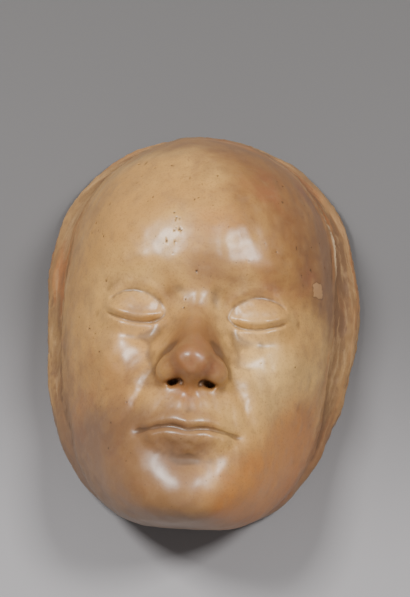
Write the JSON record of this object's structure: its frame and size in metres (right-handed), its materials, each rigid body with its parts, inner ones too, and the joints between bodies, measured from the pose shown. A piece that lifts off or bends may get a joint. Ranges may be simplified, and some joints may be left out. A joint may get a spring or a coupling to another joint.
{
  "type": "death mask",
  "caption": "Hollow cast of a calm sleeping face with closed eyes, a rough raised margin and a flat trimmed rim, lying face up.",
  "frame": {"origin": "middle of the outline in the plane of the trimmed rim, on the surface that the mask lies on", "axes": "+Z out of the face, +Y from the chin to the crown, +X to the side whose margin swells in front of the ear"},
  "size_m": [0.1718, 0.2272, 0.1088],
  "materials": {
    "plaster": "tinted plaster under a thin semi-gloss varnish"
  },
  "bodies": {
    "root": {"death_mask": "plaster"}
  },
  "joints": []
}
